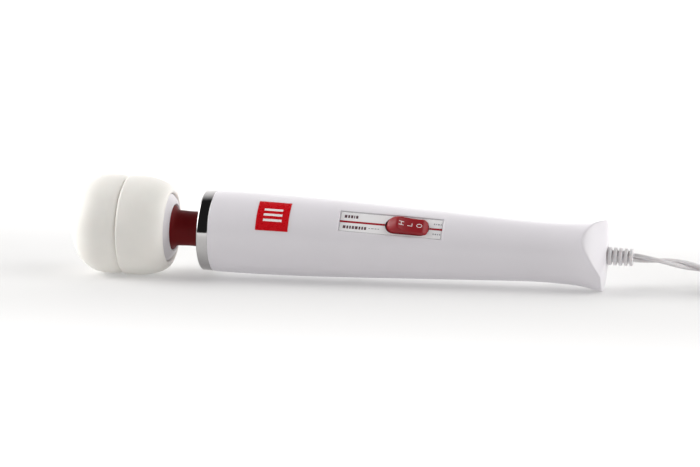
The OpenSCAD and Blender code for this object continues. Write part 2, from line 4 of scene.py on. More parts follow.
import bmesh
import bpy
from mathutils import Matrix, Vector


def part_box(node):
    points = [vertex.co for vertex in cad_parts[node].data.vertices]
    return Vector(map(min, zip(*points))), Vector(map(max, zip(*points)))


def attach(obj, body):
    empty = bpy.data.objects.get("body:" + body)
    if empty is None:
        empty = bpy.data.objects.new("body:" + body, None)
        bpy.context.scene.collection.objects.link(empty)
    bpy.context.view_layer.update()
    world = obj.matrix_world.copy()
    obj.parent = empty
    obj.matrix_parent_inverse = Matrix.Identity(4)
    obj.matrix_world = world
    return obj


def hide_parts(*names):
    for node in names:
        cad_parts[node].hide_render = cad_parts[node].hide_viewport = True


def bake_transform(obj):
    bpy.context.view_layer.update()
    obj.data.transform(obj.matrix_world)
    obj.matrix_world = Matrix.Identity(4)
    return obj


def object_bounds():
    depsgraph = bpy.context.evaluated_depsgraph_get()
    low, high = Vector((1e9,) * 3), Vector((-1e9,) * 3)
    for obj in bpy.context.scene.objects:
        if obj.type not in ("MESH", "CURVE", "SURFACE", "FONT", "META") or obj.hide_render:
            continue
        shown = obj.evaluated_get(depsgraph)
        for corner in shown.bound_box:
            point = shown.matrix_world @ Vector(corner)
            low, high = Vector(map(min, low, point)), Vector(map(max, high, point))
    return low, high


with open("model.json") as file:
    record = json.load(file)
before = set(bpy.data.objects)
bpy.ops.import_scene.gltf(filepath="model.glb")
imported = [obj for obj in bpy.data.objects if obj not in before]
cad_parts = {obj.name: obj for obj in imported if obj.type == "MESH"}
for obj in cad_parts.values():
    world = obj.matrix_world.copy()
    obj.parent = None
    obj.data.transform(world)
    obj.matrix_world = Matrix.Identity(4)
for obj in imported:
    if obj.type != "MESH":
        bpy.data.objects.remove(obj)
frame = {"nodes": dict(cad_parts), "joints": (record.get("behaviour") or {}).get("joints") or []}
cad_low, cad_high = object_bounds()
scene = bpy.context.scene
MM = 0.001

# ---- camera
camera = bpy.data.objects.new("camera", bpy.data.cameras.new("camera"))
scene.collection.objects.link(camera)
camera.data.lens = 150
camera.data.sensor_width = 36
camera.data.clip_end = 30
camera.location = (0.33665, -1.6678, 0.3135)
looking = Vector((-0.19495, 0.96683, -0.16500))
camera.rotation_euler = looking.to_track_quat("-Z", "Y").to_euler()
scene.camera = camera
scene.view_settings.view_transform = "Standard"

# ---- the wand's own axes
# Pieces are drawn in wand millimetres: x from the head's tip, +z out of the switch side, y across.
joints = {j["name"]: j for j in frame["joints"]}
along = Vector(joints["motor_spin"]["axis"]).normalized()
across = -Vector(joints["rocker_press"]["axis"])
across = (across - along * across.dot(along)).normalized()
outward = along.cross(across)
MOTOR_X = 130.0  # the motor joint's place on the wand
tip = Vector(joints["motor_spin"]["pos_m"]) - MOTOR_X * MM * along


def at(p):
    """From wand millimetres to metres in the frame."""
    return tip + MM * (p[0] * along + p[1] * across + p[2] * outward)


def smooth(t):
    """From 0 to 1 with soft ends."""
    t = min(1.0, max(0.0, t))
    return t * t * (3 - 2 * t)


def steps(a, b, n):
    """n + 1 even steps from a to b."""
    return [a + (b - a) * i / n for i in range(n + 1)]


# ---- materials
NOISE_LOW, NOISE_HIGH = 0.1, 0.9  # the span of a noise texture that is put to use
DARKER, LIGHTER = 1.6, 1.3  # how far a fleck goes each way, for one unit of fleck


def stuff(name, colour, rough, metal=0.0, fleck=0.05, fleck_mm=9.0, grain_mm=0.5, depth_mm=0.01,
          kind="noise", stretch=(1, 1, 1), coat=0.0, soft=0.0, level=0.5, vary=0.05):
    """A procedural finish: mottled colour, varied roughness and a fine relief of its own grain.

    fleck is the share by which the colour varies, vary the amount by which the roughness does, and the
    sizes and the depth are in millimetres. soft is subsurface weight and level the specular level.
    """
    made = bpy.data.materials.new(name)
    made.use_nodes = True
    tree = made.node_tree
    link = tree.links.new
    shader = tree.nodes["Principled BSDF"]
    fixed = {"Metallic": metal, "Coat Weight": coat, "Coat Roughness": 0.12, "Specular IOR Level": level}
    if soft:
        fixed.update({"Subsurface Weight": soft, "Subsurface Radius": (1.0, 0.6, 0.5),
                      "Subsurface Scale": 0.003})
    for key, value in fixed.items():
        shader.inputs[key].default_value = value

    def add(type_name, **values):
        """A new node, with its input values given as in_ and the input's name."""
        n = tree.nodes.new(type_name)
        for key, value in values.items():
            if key.startswith("in_"):
                n.inputs[key[3:].replace("_", " ")].default_value = value
            else:
                setattr(n, key, value)
        return n

    place = add("ShaderNodeTexCoord")
    spread = add("ShaderNodeMapping", in_Scale=stretch)
    link(place.outputs["Object"], spread.inputs["Vector"])

    def noise(size_mm, detail):
        """A noise texture with patches of about this size."""
        n = add("ShaderNodeTexNoise", in_Scale=1000.0 / size_mm, in_Detail=detail)
        link(spread.outputs["Vector"], n.inputs["Vector"])
        return n

    cloud = noise(fleck_mm, 2.0)
    ramp = add("ShaderNodeValToRGB")
    dark = [max(0.0, c * (1 - DARKER * fleck)) for c in colour]
    light = [min(1.0, c * (1 + LIGHTER * fleck)) for c in colour]
    ramp.color_ramp.elements[0].position = NOISE_LOW
    ramp.color_ramp.elements[0].color = (*dark, 1)
    ramp.color_ramp.elements[1].position = NOISE_HIGH
    ramp.color_ramp.elements[1].color = (*light, 1)
    link(cloud.outputs["Fac"], ramp.inputs["Fac"])
    link(ramp.outputs["Color"], shader.inputs["Base Color"])

    sheen = noise(fleck_mm * 0.45, 2.0)
    scale = add("ShaderNodeMapRange", in_From_Min=NOISE_LOW, in_From_Max=NOISE_HIGH,
                in_To_Min=max(0.02, rough - vary), in_To_Max=min(1.0, rough + vary))
    link(sheen.outputs["Fac"], scale.inputs["Value"])
    link(scale.outputs["Result"], shader.inputs["Roughness"])

    bump = add("ShaderNodeBump", in_Strength=1.0, in_Distance=depth_mm * MM)
    if kind == "leather":
        cells = add("ShaderNodeTexVoronoi", feature="SMOOTH_F1", in_Scale=1000.0 / grain_mm,
                    in_Smoothness=0.6)
        fine = noise(grain_mm * 0.7, 5.0)
        warp = add("ShaderNodeMath", operation="MULTIPLY_ADD")
        warp.inputs[1].default_value = 0.5
        link(spread.outputs["Vector"], cells.inputs["Vector"])
        link(fine.outputs["Fac"], warp.inputs[0])
        link(cells.outputs["Distance"], warp.inputs[2])
        link(warp.outputs["Value"], bump.inputs["Height"])
    else:
        link(noise(grain_mm, 3.0).outputs["Fac"], bump.inputs["Height"])
    link(bump.outputs["Normal"], shader.inputs["Normal"])
    return made


HEAD = stuff("head_vinyl_look", (0.865, 0.845, 0.80), 0.5, fleck=0.025, fleck_mm=14, grain_mm=0.55,
             depth_mm=0.03, kind="leather", soft=0.06, level=0.35)
HUB = stuff("hub_look", (0.66, 0.64, 0.66), 0.34, fleck=0.02, grain_mm=0.3, depth_mm=0.003)
SHELL = stuff("shell_look", (0.80, 0.775, 0.81), 0.3, fleck=0.015, fleck_mm=30, grain_mm=0.35,
              depth_mm=0.0025, coat=0.12, vary=0.03)
NECK = stuff("neck_look", (0.145, 0.0045, 0.0055), 0.58, fleck=0.08, grain_mm=0.4, depth_mm=0.008,
             level=0.14)
CHROME = stuff("chrome_look", (0.52, 0.51, 0.51), 0.06, metal=1, fleck=0.02, grain_mm=3, depth_mm=0.0015,
               vary=0.02)
ROCKER = stuff("rocker_look", (0.29, 0.011, 0.017), 0.46, fleck=0.05, grain_mm=0.4, depth_mm=0.006,
               soft=0.06, coat=0.06, level=0.3)
MARK = stuff("mark_look", (0.88, 0.84, 0.84), 0.45, fleck=0.04, fleck_mm=1.5, grain_mm=0.2, depth_mm=0.004)
FILM = stuff("film_look", (0.90, 0.89, 0.90), 0.22, fleck=0.012, fleck_mm=12, grain_mm=0.5, depth_mm=0.002,
             coat=0.3, vary=0.03)
FILM_RED = stuff("film_red_look", (0.36, 0.005, 0.016), 0.3, fleck=0.03, fleck_mm=2, grain_mm=0.3,
                 depth_mm=0.003)
FILM_INK = stuff("film_ink_look", (0.10, 0.045, 0.055), 0.4, fleck=0.15, fleck_mm=1.2, grain_mm=0.2,
                 depth_mm=0.003)
FILM_GREY = stuff("film_grey_look", (0.36, 0.35, 0.37), 0.35, fleck=0.08, fleck_mm=1.5, grain_mm=0.3,
                  depth_mm=0.003)
BADGE = stuff("badge_look", (0.60, 0.004, 0.010), 0.28, fleck=0.025, fleck_mm=6, grain_mm=0.4,
              depth_mm=0.003, coat=0.3)
RELIEF = stuff("relief_look", (0.80, 0.78, 0.79), 0.42, fleck=0.03, grain_mm=0.35, depth_mm=0.006,
               soft=0.08)
CORD = stuff("cord_look", (0.74, 0.72, 0.73), 0.38, fleck=0.04, fleck_mm=5, grain_mm=0.5, depth_mm=0.008,
             soft=0.08)
PLUG = stuff("plug_look", (0.78, 0.765, 0.77), 0.4, fleck=0.03, grain_mm=0.35, depth_mm=0.008)
TIE = stuff("tie_look", (0.05, 0.05, 0.055), 0.55, fleck=0.2, fleck_mm=2, grain_mm=0.35, depth_mm=0.05,
            kind="leather")


# ---- mesh helpers
def make(name, points, faces, finish, sharp=42, flat=False):
    """A mesh object from points in wand millimetres (or metres in the frame, with flat)."""
    mesh = bpy.data.meshes.new(name)
    mesh.from_pydata([p if flat else at(p) for p in points], [], faces)
    work = bmesh.new()
    work.from_mesh(mesh)
    bmesh.ops.remove_doubles(work, verts=work.verts, dist=2e-6)
    bmesh.ops.recalc_face_normals(work, faces=work.faces)
    for face in work.faces:
        face.smooth = True
    work.to_mesh(mesh)
    work.free()
    mesh.set_sharp_from_angle(angle=radians(sharp))
    mesh.materials.append(finish)
    made = bpy.data.objects.new(name, mesh)
    scene.collection.objects.link(made)
    return made


def skin(rows, wrap_rows=False, wrap_cols=True):
    """Quads over a grid of point rows."""
    points = [p for row in rows for p in row]
    n, m = len(rows), len(rows[0])
    faces = []
    for i in range(n if wrap_rows else n - 1):
        for j in range(m if wrap_cols else m - 1):
            a, b = i * m, (i + 1) % n * m
            faces.append((a + j, a + (j + 1) % m, b + (j + 1) % m, b + j))
    return points, faces


def lathe(profile, sides=144, closed=True):
    """Turns (radius, x) points round the wand's axis. An open profile ends on the axis."""
    rows = []
    for r, x in profile:
        r = max(r, 1e-4)
        rows.append([(x, r * cos(a), r * sin(a)) for a in steps(0, 2 * pi, sides)[:-1]])
    return skin(rows, wrap_rows=closed)


def arc(cr, cx, rad, a0, a1, n):
    """Points of a lathe profile on an arc about (cr, cx), between two angles in degrees."""
    angles = [radians(a) for a in steps(a0, a1, n)]
    return [(cr + rad * cos(a), cx + rad * sin(a)) for a in angles]


def cut(target, cutter, operation="DIFFERENCE"):
    """Applies a boolean and throws the cutter away."""
    step = target.modifiers.new("cut", "BOOLEAN")
    step.operation = operation
    step.object = cutter
    step.solver = "EXACT"
    bpy.context.view_layer.update()
    done = bpy.data.meshes.new_from_object(target.evaluated_get(bpy.context.evaluated_depsgraph_get()))
    target.modifiers.clear()
    target.data = done
    bpy.data.objects.remove(cutter)


def finish_edges(piece, angle, finish):
    """Shades a cut piece smooth again, with edges sharper than the angle kept, in one finish."""
    for polygon in piece.data.polygons:
        polygon.use_smooth = True
        polygon.material_index = 0
    piece.data.set_sharp_from_angle(angle=radians(angle))
    piece.data.materials.clear()
    piece.data.materials.append(finish)


# ---- cord
CORE = 1.35  # radius of one core of the twin lead
TWIST = 66.0  # length of one full turn of the twist
EXIT_X = 336.7  # where the lead leaves its strain relief
exit_point = at((EXIT_X, 0, 0))
lead_out = [(179, 0.8, 19.2), (187, 3.8, 17.9), (195, 9.2, 15.8), (203, 15.8, 13), (211, 22.6, 9.8),
            (219, 29.4, 6.8), (227, 36.2, 4.4)]
COIL = (256.0, 12.0)  # the coil's middle on the table
COIL_START = 130.0  # where round the coil the lead reaches it, in degrees
COIL_END = 2770.0  # degrees that it winds before it leaves
COIL_POINTS = 230
# each turn's radius and height, and where in degrees the lead passes from each to the next
slots = [(37.4, 3.5), (32.0, 3.5), (26.6, 3.5), (26.6, 8.9), (32.0, 8.9), (37.4, 8.9), (37.4, 14.3),
         (32.0, 14.3), (26.6, 14.3)]
moves = [320, 680, 1005, 1330, 1690, 2015, 2340, 2700]
HALF_MOVE = 62.0  # half of the turn that such a passage takes
# the lead rises off the coil on an arc, point by point at these heights, and enters the plug level
BACK_MID, BACK_R, BACK_FROM, BACK_STEP = (248.0, 12.1), 22.9, 240, 15
back_z = [15.3, 16.8, 18.4, 19.9, 21.1, 22.1, 22.9, 23.5, 24.0, 24.4]
lead_back = []
for i, z in enumerate(back_z):
    a = radians(BACK_FROM - BACK_STEP * i)
    lead_back.append((BACK_MID[0] + BACK_R * cos(a), BACK_MID[1] + BACK_R * sin(a), z))
plug_low, plug_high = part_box("power_plug")
plug_mouth = Vector((plug_low.x, (plug_low.y + plug_high.y) / 2, (plug_low.z + plug_high.z) / 2))
BETWEEN, STEP = 6, 2.6  # points between knots, and the even spacing of the route's own points
CORE_SIDES = 12


def coil_point(turn):
    """Where the lead is after a turn in degrees round the coil."""
    r, z = slots[0]
    for i, change in enumerate(moves):
        w = smooth((turn - change + HALF_MOVE) / (2 * HALF_MOVE))
        r += w * (slots[i + 1][0] - slots[i][0])
        z += w * (slots[i + 1][1] - slots[i][1])
    a = radians(COIL_START - turn)
    return Vector((COIL[0] + r * cos(a), COIL[1] + r * sin(a), z)) * MM


knots = [exit_point - 4 * MM * along, exit_point]
knots += [Vector(p) * MM for p in lead_out]
knots += [coil_point(t) for t in steps(0, COIL_END, COIL_POINTS)]
knots += [Vector(p) * MM for p in lead_back]
# the last knot only steers: it makes the lead enter the plug straight
last_x, last_y = lead_back[-1][:2]
knots += [plug_mouth, Vector((2 * plug_mouth.x - last_x * MM, last_y * MM, plug_mouth.z))]


def through(points, between):
    """A Catmull-Rom line through all the points but the two ends."""
    line = []
    for i in range(1, len(points) - 2):
        a, b, c, d = points[i - 1:i + 3]
        for k in range(between):
            t = k / between
            line.append(0.5 * (2 * b + (c - a) * t + (2 * a - 5 * b + 4 * c - d) * t * t
                               + (3 * b - a - 3 * c + d) * t ** 3))
    return line + [points[-2]]


def even(line, step):
    """The same line with points a fixed distance apart."""
    out, carry = [line[0]], 0.0
    for a, b in zip(line, line[1:]):
        run = (b - a).length
        while carry + run >= step:
            part = (step - carry) / run
            a = a.lerp(b, part)
            out.append(a.copy())
            run = (b - a).length
            carry = 0.0
        carry += run
    if (out[-1] - line[-1]).length > step * 0.3:
        out.append(line[-1])
    else:
        out[-1] = line[-1]
    return out


def tube(line, radius, sides, turn=None, shift=0.0, side=1):
    """A tube along a line, or along a strand that winds round it."""
    up = Vector((0, 0, 1))
    rings, run = [], 0.0
    normal = None
    for i, p in enumerate(line):
        ahead = (line[min(i + 1, len(line) - 1)] - line[max(i - 1, 0)]).normalized()
        normal = up if normal is None else normal
        normal = (normal - ahead * normal.dot(ahead)).normalized()
        other = ahead.cross(normal)
        if i:
            run += (p - line[i - 1]).length
        centre = p
        if turn:
            a = 2 * pi * run / turn
            centre = p + side * shift * (cos(a) * normal + sin(a) * other)
        rings.append([centre + radius * (cos(b) * normal + sin(b) * other)
                      for b in steps(0, 2 * pi, sides)[:-1]])
    points, faces = skin(rings)
    n = len(rings)
    faces.append(tuple(range(sides - 1, -1, -1)))
    faces.append(tuple((n - 1) * sides + k for k in range(sides)))
    return points, faces


route = even(through(knots, BETWEEN), STEP * MM)
cord_points, cord_faces = [], []
for side in (1, -1):
    points, faces = tube(route, CORE * MM, CORE_SIDES, TWIST * MM, CORE * MM, side)
    base = len(cord_points)
    cord_points += points
    cord_faces += [tuple(base + k for k in f) for f in faces]
cord = make("mains_cord", cord_points, cord_faces, CORD, flat=True)
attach(cord, "handle")
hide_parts("cord_lead", "cord_coil", "plug_lead")

# strap round the coil: a band with rounded corners and edges
TIE_ANGLE = radians(-70)
turn_r, turn_z = slots[4]  # the middle one of the nine turns
tie_mid = Vector((COIL[0] + turn_r * cos(TIE_ANGLE), COIL[1] + turn_r * sin(TIE_ANGLE),
                  turn_z)) * MM
radial = Vector((cos(TIE_ANGLE), sin(TIE_ANGLE), 0))
sideways = Vector((-sin(TIE_ANGLE), cos(TIE_ANGLE), 0))


def band_ring(half, corner, w):
    """One edge line of the strap: a square round the coil's section, at w along the lead."""
    ring = []
    for quarter, (sx, sz) in enumerate([(1, 1), (-1, 1), (-1, -1), (1, -1)]):
        for a in steps(quarter * 90, quarter * 90 + 90, 7):
            u = sx * (half - corner) + corner * cos(radians(a))
            v = sz * (half - corner) + corner * sin(radians(a))
            ring.append(tie_mid + MM * (u * radial + v * Vector((0, 0, 1)) + w * sideways))
    return ring


# inner face, one rounded edge, outer face, the other rounded edge
tie_rows = [band_ring(8.15, 2.75, -3.7), band_ring(8.15, 2.75, 3.7), band_ring(8.4, 3.0, 3.95),
            band_ring(8.75, 3.35, 3.95), band_ring(8.88, 3.48, 3.6), band_ring(8.88, 3.48, -3.6),
            band_ring(8.75, 3.35, -3.95), band_ring(8.4, 3.0, -3.95)]
tie = make("coil_strap", *skin(tie_rows, wrap_rows=True), TIE, flat=True)
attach(tie, "handle")
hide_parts("cord_tie")


# plug: a ribbed, tapered relief that grows into a rounded body with grip ridges
def plug_ring(x, w, t, power):
    """A section of the plug at x from its mouth: half widths w and t, squarer as the power grows."""
    ring = []
    for a in steps(0, 2 * pi, 72)[:-1]:
        c, s = cos(a), sin(a)
        ring.append(plug_mouth + MM * Vector((x, w * copysign(abs(c) ** (2 / power), c),
                                              t * copysign(abs(s) ** (2 / power), s))))
    return ring


RIBS, RIB0, RIB_PITCH = 5, 0.4, 3.5
GRIPS, GRIP0, GRIP_PITCH = 6, 24.5, 2.6
shoulder = [(18.0, 5.4, 5.2, 2.2), (18.4, 6.4, 6.1, 2.4), (19.2, 7.1, 6.7, 2.6), (20.6, 8.0, 7.1, 2.9),
            (22.5, 9.0, 7.3, 3.2)]
heel = [(41.2, 11.0, 7.4, 3.8), (42.6, 12.1, 7.45, 4.2), (43.4, 12.42, 7.48, 4.4), (44.4, 12.5, 7.5, 4.6),
        (47.0, 12.5, 7.5, 4.6), (47.6, 12.35, 7.35, 4.6), (47.92, 12.0, 7.0, 4.6), (48.0, 11.4, 6.4, 4.4),
        (48.0, 6.0, 3.0, 3.5), (48.0, 0.01, 0.01, 2)]
plug_rings = [plug_ring(0.0, 2.75, 2.75, 2), plug_ring(0.0, 3.2, 3.2, 2), plug_ring(0.3, 3.4, 3.4, 2)]
for i in range(RIBS):
    r = 3.45 + 0.3 * i
    x = RIB0 + RIB_PITCH * i
    for dx, dr in [(0, 0), (1.9, 0.1), (2.15, -0.1), (2.35, -0.75), (3.1, -0.7), (3.35, 0.1)]:
        plug_rings.append(plug_ring(x + dx, r + dr, r + dr, 2))
plug_rings += [plug_ring(*row) for row in shoulder]
for i in range(GRIPS):
    x = GRIP0 + GRIP_PITCH * i
    w = 9.35 + 0.22 * i
    for dx, dw, t in [(0, 0, 7.3), (0.3, -0.55, 6.8), (1.0, -0.55, 6.8), (1.3, 0.1, 7.35)]:
        plug_rings.append(plug_ring(x + dx, w + dw, t, 3.4))
plug_rings += [plug_ring(*row) for row in heel]
plug = make("plug_body", *skin(plug_rings), PLUG, flat=True, sharp=35)
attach(plug, "handle")
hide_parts("power_plug")

# ---- head
HEAD_R, DOME, BARREL, HEAD_END, LIP_R = 29.8, 23.0, 39.4, 60.0, 21.7
GROOVE_FROM, GROOVE_X, GROOVE = 27, 32.5, 1.9  # where the groove begins, its bottom, its depth
DOME_POWER, BACK_POWER = 2.3, 1.9  # how square the dome and the back are
outline = [(0, 0)]
for t in steps(0, 1, 40)[1:]:
    x = DOME * t ** 1.9
    outline.append((HEAD_R * (1 - (1 - x / DOME) ** DOME_POWER) ** (1 / DOME_POWER), x))
outline.append((HEAD_R, 25.5))
for t in steps(0, 1, 12):
    outline.append((HEAD_R - GROOVE * t * t, GROOVE_FROM + t * (GROOVE_X - GROOVE_FROM)))
outline += arc(HEAD_R - GROOVE, GROOVE_X + GROOVE, GROOVE, -74, 0, 12)
outline += [(HEAD_R, 36.6), (HEAD_R, BARREL)]
for t in steps(0, 1, 33)[1:]:
    x = HEAD_END - (HEAD_END - BARREL) * (1 - t) ** 1.7
    fall = ((x - BARREL) / (HEAD_END - BARREL)) ** BACK_POWER
    outline.append((LIP_R + (HEAD_R - LIP_R) * max(0.0, 1 - fall) ** (1 / BACK_POWER), x))
# the lip round the hub, then the inside that fits the core
outline += [(21.3, 59.93), (20.95, 59.72), (20.7, 59.4), (20.52, 59.0), (20.42, 58.5), (20.4, 57.9)]
outline += [(20.4, 55.6), (22.1, 55.6), (22.1, 13.0), (20.1, 13.0), (20.1, 9.9), (0, 9.9)]
head = make("head_cushion", *lathe(outline, 192, closed=False), HEAD, sharp=50)
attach(head, "head")
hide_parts("head_cover")

hub_profile = [(6, 56), (20.15, 56), (20.15, 58.2)] + arc(19.75, 58.4, 0.4, 0, 62, 4)
hub_profile += [(17.6, 60.75), (15.9, 61.75)] + arc(14.45, 61.45, 0.55, 78, 160, 6)
hub_profile += [(13.32, 61.0), (13.32, 58.6), (6, 58.6)]
hub = make("head_disc", *lathe(hub_profile), HUB)
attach(hub, "head")
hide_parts("head_hub")

# ---- neck, in two halves
NECK_CUT = 71.5  # where the halves meet
FOOT_X, FOOT_LEN, FOOT_R = 61.9, 3.4, 13.2
FOOT_IN, STEM_X, STEM_R, WAIST_R = 2.6, 65.4, 10.6, 10.36


def neck_r(x):
    """The sleeve's radius: a flared foot against the hub, then a stem with a slight waist."""
    if x < STEM_X:
        a = acos(min(1.0, max(-1.0, 1 - (x - FOOT_X) / FOOT_LEN)))
        return FOOT_R - FOOT_IN * sin(a)
    return STEM_R + (WAIST_R - STEM_R) * smooth((x - STEM_X) / 6) + 0.13 * smooth((x - NECK_CUT) / 9)


foot_xs = [61.92, 62.0, 62.15, 62.4, 62.7, 63.1, 63.6, 64.2, 64.8]
front_profile = [(9, NECK_CUT), (9, 58.85), (13.15, 58.85), (13.2, 61.6)]
front_profile += [(neck_r(x), x) for x in foot_xs + [65.4, 66.5, 68, 69.5]]
front_profile += [(neck_r(NECK_CUT), NECK_CUT)]
rear_profile = [(neck_r(x), x) for x in [NECK_CUT, 73, 74.5, 76, 77.5, 79, 80.5, 82, 83.5, 85.1]]
rear_profile += [(12.6, 85.15), (12.6, 86.9), (9, 86.9)] + [(9, x) for x in steps(84, NECK_CUT, 8)]
neck_front = make("neck_sleeve_front", *lathe(front_profile, closed=False), NECK)
neck_rear = make("neck_sleeve_rear", *lathe(rear_profile, closed=False), NECK)
for piece in (neck_front, neck_rear):
    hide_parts("neck_boot")
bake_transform(neck_front)
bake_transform(neck_rear)

# ---- bright ring
ring_profile = [(22.2, 87.6), (22.2, 81.1), (22.35, 80.78), (22.7, 80.6)]
ring_profile += arc(22.75, 82.0, 1.4, -90, 0, 12)
ring_profile += [(24.15, 84.5), (24.15, 87.3), (24.05, 87.55), (23.9, 87.6)]
ring = make("bright_ring", *lathe(ring_profile, 192), CHROME, sharp=60)
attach(ring, "handle")
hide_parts("chrome_ring")

# ---- handle shells
WALL, START_X, TAIL_X = 2.4, 87.6, 290.0
LABEL0, LABEL1, LABEL_HALF, POCKET = 165.2, 226.6, 6.8, 0.75  # the label's pocket and its depth
ROCKER_X = 205.5
TOP_X, TOP_R, NOSE_BEND = 97.0, 24.5, 360  # the widest place, and the fall before it
TAPER_X, TAPER = 165.0, 0.0455  # from where the sides are straight, and their slope
FLARE_X, FLARE_BEND, LIP_X, LIP = 272.0, 566, 305.0, 0.8  # the tail's flare, and its soft lip
END_X, BULGE = 320.2, 1.6  # the end wall's edge, and its bulge at the middle
CUT_R, CUT_Z, CUT_LOW, CREASE = 23.7, 8.2, -3.4, 0.8  # the rounded cut across the tail
CUT_X = END_X - sqrt(CUT_R ** 2 - (CUT_Z - CUT_LOW) ** 2)
taper_r = TOP_R - (TAPER_X - TOP_X) / 2 * TAPER
flare_r = taper_r - TAPER * (FLARE_X - TAPER_X)


def handle_r(x):
    """The handle's radius along the wand."""
    if x < TOP_X:
        return TOP_R - (TOP_X - x) ** 2 / NOSE_BEND
    if x < TAPER_X:
        return TOP_R - (x - TOP_X) ** 2 * TAPER / (2 * (TAPER_X - TOP_X))
    if x < FLARE_X:
        return taper_r - TAPER * (x - TAPER_X)
    past = x - FLARE_X
    return flare_r - TAPER * past + past ** 2 / FLARE_BEND + LIP * smooth((x - LIP_X) / 13)


def end_x(r, theta, inset=0.0):
    """Where the tail ends at a radius and a direction: the bulged wall, or the rounded cut before it."""
    edge = handle_r(END_X) - inset
    wall = END_X - inset + BULGE * (1 - (r / edge) ** 2)
    z = r * sin(theta)
    if z <= 0:
        return wall
    cut_r = CUT_R - inset
    round_cut = CUT_X + sqrt(max(0.0, cut_r ** 2 - (z - CUT_LOW) ** 2))
    h = max(CREASE - abs(wall - round_cut), 0.0) / CREASE
    return min(wall, round_cut) - h * h * CREASE * 0.25


def rim_x(theta, inset=0.0):
    """Where the handle's side meets the tail's end, in the direction theta."""
    low, high = 300.0, END_X + 1
    for _ in range(40):
        x = (low + high) / 2
        if x < end_x(handle_r(x) - inset, theta, inset):
            low = x
        else:
            high = x
    return low


def pocket_z(x):
    """The pocket floor's height at one of its ends."""
    return sqrt(handle_r(x) ** 2 - LABEL_HALF ** 2) - POCKET


slope = atan((pocket_z(LABEL0) - pocket_z(LABEL1)) / (LABEL1 - LABEL0))
floor_z = pocket_z(LABEL0) - (ROCKER_X - LABEL0) * tan(slope)


def on_floor(p):
    """From the label pocket's frame: origin on its floor over the rocker, x along it, z out of it."""
    x, y, z = p
    return (ROCKER_X + x * cos(slope) + z * sin(slope), y,
            floor_z - x * sin(slope) + z * cos(slope))


EDGE = 0.25  # softened edge round the label pocket
TAIL_EDGE = 0.7  # rounding of the tail's edge
HOLE_R = 5.65  # the strain relief's hole
SHARP = 38  # the angle in degrees from which a shell's edge stays sharp
SEAM_IN, SEAM_WIDE = 0.14, 0.22  # the small bevel along the seam between the shells
NOSE_EDGE = 0.9915  # how much narrower the front edge is, for a small chamfer
THICK0, THICK1, THICK_HALF = 163, 231, 9.5  # the wall goes down under the pocket within these
LAST_SHARE = 0.98  # the last column before the label's straight ones


def pocket_drop(x, y):
    """How far the surface lies under the handle's own near the pocket, or None on the pocket's floor."""
    q = min(x - LABEL0, LABEL1 - x, LABEL_HALF - abs(y))
    if q >= 0.015:
        return None
    return 0.0 if q < -EDGE else 0.2 * (1 + q / EDGE) ** 2


def shell_columns(front):
    """Where each column of the grid runs: at a share of an angle, or at a fixed y across the label."""
    if not front:
        return [("turn", pi + a) for a in [0, 0.009, 0.02] + steps(0.05, pi - 0.05, 72)
                + [pi - 0.02, pi - 0.009, pi]]
    ys = [LABEL_HALF + EDGE, 6.9, LABEL_HALF, 6.78, 5.8, 4.6, 3.2, 1.6, 0]
    ys += [-y for y in ys[-2::-1]]
    lead = [("share", t) for t in [0, 0.009, 0.02] + steps(0.05, LAST_SHARE, 30)]
    return lead + [("y", y) for y in ys] + [("mirror", t) for _, t in reversed(lead)]


def column_angle(column, r):
    """A column's direction at a radius."""
    kind, value = column
    if kind == "turn":
        return value
    edge = acos((LABEL_HALF + EDGE) / r)
    if kind == "share":
        return value * edge
    if kind == "mirror":
        return pi - value * edge
    return acos(value / r)


def bevel(theta, r):
    """How far the surface draws in near the seam."""
    off = min(abs(theta - seam) for seam in (0.0, pi, 2 * pi))
    return SEAM_IN * max(0.0, 1 - off * r / SEAM_WIDE)


def side(x, theta, inset=0.0):
    """A point on the handle's side, or on the wall's inner face with an inset."""
    r = handle_r(x) - inset - (0 if inset else bevel(theta, handle_r(x)))
    return (x, r * cos(theta), r * sin(theta))


def face(r, theta, inset=0.0):
    """A point on the tail's end."""
    return (end_x(r, theta, inset), r * cos(theta), r * sin(theta))


def outer_row(x, columns):
    """A row of the outside, which dips where it crosses the label's pocket."""
    row = []
    for kind, value in columns:
        theta = column_angle((kind, value), handle_r(x))
        by_label = kind == "y" or kind in ("share", "mirror") and value == LAST_SHARE
        if not by_label or not LABEL0 - EDGE <= x <= LABEL1 + EDGE:
            row.append(side(x, theta))
            continue
        y = value if kind == "y" else copysign(LABEL_HALF + EDGE, cos(theta))
        drop = pocket_drop(x, y)
        if drop is None:
            row.append((x, y, floor_z - (x - ROCKER_X) * tan(slope)))
        else:
            row.append((x, y, sqrt(handle_r(x) ** 2 - y * y) - drop))
    return row


def outer_rows(columns):
    """The outside from the front edge to the tail."""
    stations = steps(START_X, TOP_X, 4)[:-1] + steps(TOP_X, LABEL0 - 1.5, 18)
    stations += [LABEL0 - EDGE, LABEL0 - 0.1, LABEL0, LABEL0 + 0.02] + steps(LABEL0 + 2, LABEL1 - 2, 14)
    stations += [LABEL1 - 0.02, LABEL1, LABEL1 + 0.1, LABEL1 + EDGE] + steps(LABEL1 + 2, FLARE_X, 10)
    rows = [outer_row(x, columns) for x in stations + steps(275, TAIL_X, 6)]
    rows[0] = [(x, y * NOSE_EDGE, z * NOSE_EDGE) for x, y, z in rows[0]]
    rows.insert(1, outer_row(START_X + 0.25, columns))
    return rows


